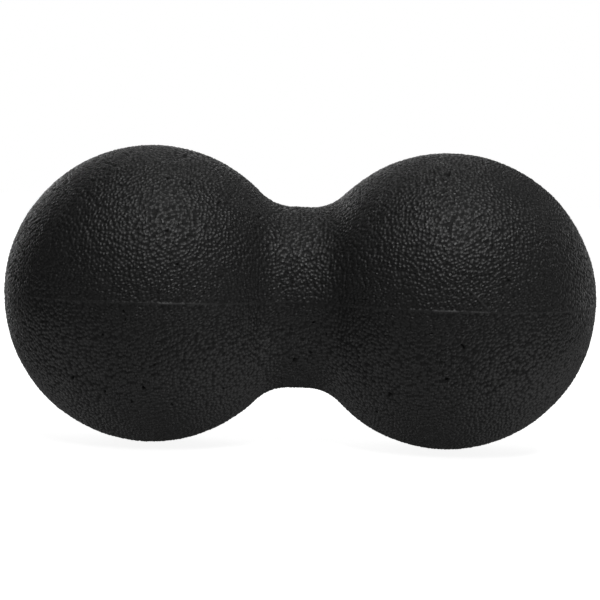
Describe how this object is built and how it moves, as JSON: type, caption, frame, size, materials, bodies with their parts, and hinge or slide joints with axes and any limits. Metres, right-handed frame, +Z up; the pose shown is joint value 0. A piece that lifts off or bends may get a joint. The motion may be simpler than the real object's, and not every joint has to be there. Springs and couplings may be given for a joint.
{
  "type": "massage ball",
  "caption": "Peanut-shaped massage ball: two foam balls joined by a waisted neck in one moulded piece, with a pebbled black skin and a raised parting line.",
  "frame": {"origin": "centre of the neck, midway between the two balls, on the long axis", "axes": "+X along the long axis through both ball centres, +Z up when the ball lies on a floor; the mould's parting plane is the XY plane"},
  "size_m": [0.1598, 0.0802, 0.08],
  "materials": {
    "foam": "black expanded polypropylene bead foam with a fine moulded pebble grain, satin"
  },
  "bodies": {
    "root": {"foam_body": "foam"}
  },
  "joints": []
}
